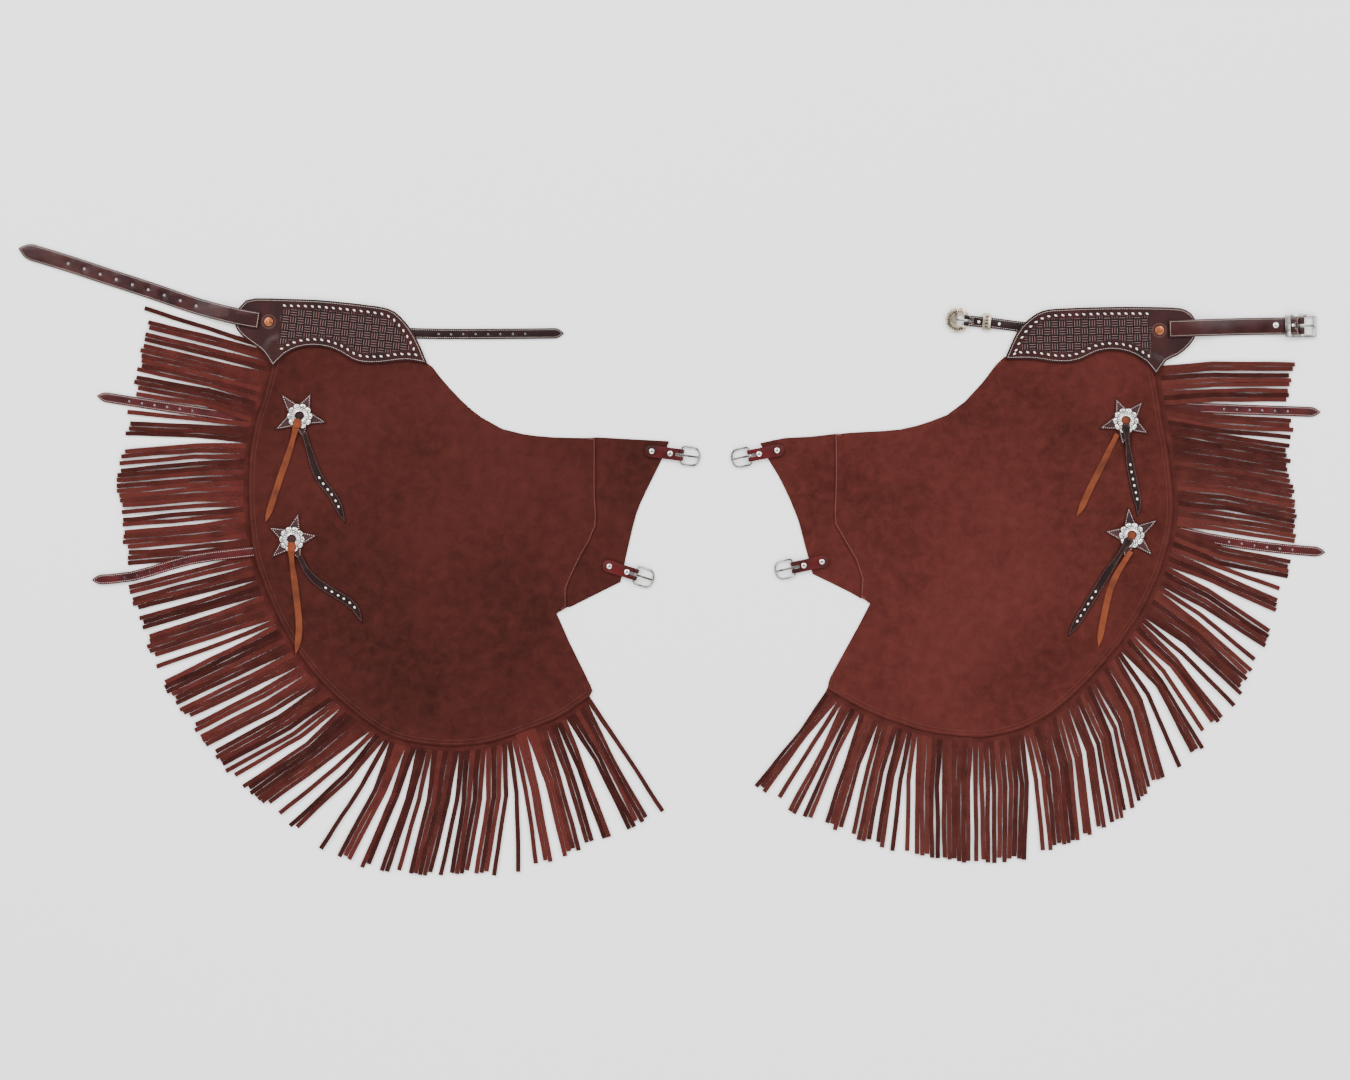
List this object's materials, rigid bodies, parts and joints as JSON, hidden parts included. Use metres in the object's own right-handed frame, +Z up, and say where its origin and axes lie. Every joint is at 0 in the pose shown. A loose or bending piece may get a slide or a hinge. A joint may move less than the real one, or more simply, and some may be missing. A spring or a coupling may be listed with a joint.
{
  "type": "fringed leather chaps",
  "caption": "Pair of short suede riding chaps with cut fringe, tooled yokes, star and silver boss ornaments, and buckled waist, front and leg straps, laid flat.",
  "frame": {"origin": "centre of the two legs' bounding box, on the floor they lie on", "axes": "+X to the right along the waist as seen from above, +Y towards the waist, +Z up out of the cloth's face"},
  "size_m": [1.986, 0.9598, 0.0104],
  "materials": {
    "suede": "napped suede",
    "tooled_leather": "tooled and waxed grain leather",
    "strap_leather": "smooth bridle leather",
    "oxblood_leather": "smooth oxblood leather",
    "tan_leather": "pull-up tan lace leather",
    "silver": "polished nickel silver",
    "copper": "polished copper"
  },
  "bodies": {
    "cloth": {"front_keeper": "silver", "front_stud_inner": "silver", "front_stud_outer": "silver", "left_boss_lower": "silver", "left_boss_upper": "silver", "left_drop_lower": "tooled_leather", "left_drop_upper": "tooled_leather", "left_fringe": "suede", "left_front_strap": "tooled_leather", "left_gusset": "suede", "left_leg_strap_lower": "oxblood_leather", "left_leg_strap_upper": "oxblood_leather", "left_lower_tab": "oxblood_leather", "left_panel": "suede", "left_rivet": "copper", "left_star_lower": "tooled_leather", "left_star_upper": "tooled_leather", "left_tan_string_lower": "tan_leather", "left_tan_string_upper": "tan_leather", "left_upper_tab": "oxblood_leather", "left_waist_strap": "strap_leather", "left_yoke": "tooled_leather", "right_boss_lower": "silver", "right_boss_upper": "silver", "right_drop_lower": "tooled_leather", "right_drop_upper": "tooled_leather", "right_fringe": "suede", "right_front_strap": "tooled_leather", "right_gusset": "suede", "right_leg_strap_lower": "oxblood_leather", "right_leg_strap_upper": "oxblood_leather", "right_lower_tab": "oxblood_leather", "right_panel": "suede", "right_rivet": "copper", "right_star_lower": "tooled_leather", "right_star_upper": "tooled_leather", "right_tan_string_lower": "tan_leather", "right_tan_string_upper": "tan_leather", "right_upper_tab": "oxblood_leather", "right_waist_strap": "tooled_leather", "right_yoke": "tooled_leather", "waist_stud_inner": "silver", "waist_stud_outer": "silver"},
    "left_upper_frame_body": {"left_upper_frame": "silver"},
    "left_upper_prong_body": {"left_upper_prong": "silver"},
    "left_lower_frame_body": {"left_lower_frame": "silver"},
    "left_lower_prong_body": {"left_lower_prong": "silver"},
    "right_upper_frame_body": {"right_upper_frame": "silver"},
    "right_upper_prong_body": {"right_upper_prong": "silver"},
    "right_lower_frame_body": {"right_lower_frame": "silver"},
    "right_lower_prong_body": {"right_lower_prong": "silver"},
    "front_buckle_frame_body": {"front_buckle_frame": "silver"},
    "front_buckle_prong_body": {"front_buckle_prong": "silver"},
    "waist_buckle_frame_body": {"waist_buckle_frame": "silver"},
    "waist_buckle_prong_body": {"waist_buckle_prong": "silver"}
  },
  "joints": [
    {"name": "left_upper_frame_hinge", "type": "hinge", "parent": "cloth", "child": "left_upper_frame_body", "pos_m": [0.01422, 0.15906, 0.0039], "axis": [-0.1293, -0.9916, 0], "range_deg": [0, 75]},
    {"name": "left_upper_prong_hinge", "type": "hinge", "parent": "left_upper_frame_body", "child": "left_upper_prong_body", "pos_m": [0.01422, 0.15906, 0.0039], "axis": [-0.1293, -0.9916, 0], "range_deg": [0, 55]},
    {"name": "left_lower_frame_hinge", "type": "hinge", "parent": "cloth", "child": "left_lower_frame_body", "pos_m": [-0.05525, -0.02253, 0.0039], "axis": [-0.3026, -0.9531, 0], "range_deg": [0, 75]},
    {"name": "left_lower_prong_hinge", "type": "hinge", "parent": "left_lower_frame_body", "child": "left_lower_prong_body", "pos_m": [-0.05525, -0.02253, 0.0039], "axis": [-0.3026, -0.9531, 0], "range_deg": [0, 55]},
    {"name": "right_upper_frame_hinge", "type": "hinge", "parent": "cloth", "child": "right_upper_frame_body", "pos_m": [0.11863, 0.15799, 0.0039], "axis": [-0.1961, 0.9806, 0], "range_deg": [0, 75]},
    {"name": "right_upper_prong_hinge", "type": "hinge", "parent": "right_upper_frame_body", "child": "right_upper_prong_body", "pos_m": [0.11863, 0.15799, 0.0039], "axis": [-0.1961, 0.9806, 0], "range_deg": [0, 55]},
    {"name": "right_lower_frame_hinge", "type": "hinge", "parent": "cloth", "child": "right_lower_frame_body", "pos_m": [0.18461, -0.0119, 0.0039], "axis": [-0.2045, 0.9789, 0], "range_deg": [0, 75]},
    {"name": "right_lower_prong_hinge", "type": "hinge", "parent": "right_lower_frame_body", "child": "right_lower_prong_body", "pos_m": [0.18461, -0.0119, 0.0039], "axis": [-0.2045, 0.9789, 0], "range_deg": [0, 55]},
    {"name": "front_buckle_frame_hinge", "type": "hinge", "parent": "cloth", "child": "front_buckle_frame_body", "pos_m": [0.447, 0.36326, 0.00375], "axis": [0.0866, 0.9962, 0], "range_deg": [0, 75]},
    {"name": "front_buckle_prong_hinge", "type": "hinge", "parent": "front_buckle_frame_body", "child": "front_buckle_prong_body", "pos_m": [0.447, 0.36326, 0.00375], "axis": [0.0866, 0.9962, 0], "range_deg": [0, 55]},
    {"name": "waist_buckle_frame_hinge", "type": "hinge", "parent": "cloth", "child": "waist_buckle_frame_body", "pos_m": [0.956, 0.35526, 0.0049], "axis": [-0.008, 1, 0], "range_deg": [0, 60]},
    {"name": "waist_buckle_prong_hinge", "type": "hinge", "parent": "waist_buckle_frame_body", "child": "waist_buckle_prong_body", "pos_m": [0.956, 0.35526, 0.0049], "axis": [0.008, -1, 0], "range_deg": [0, 90]}
  ]
}
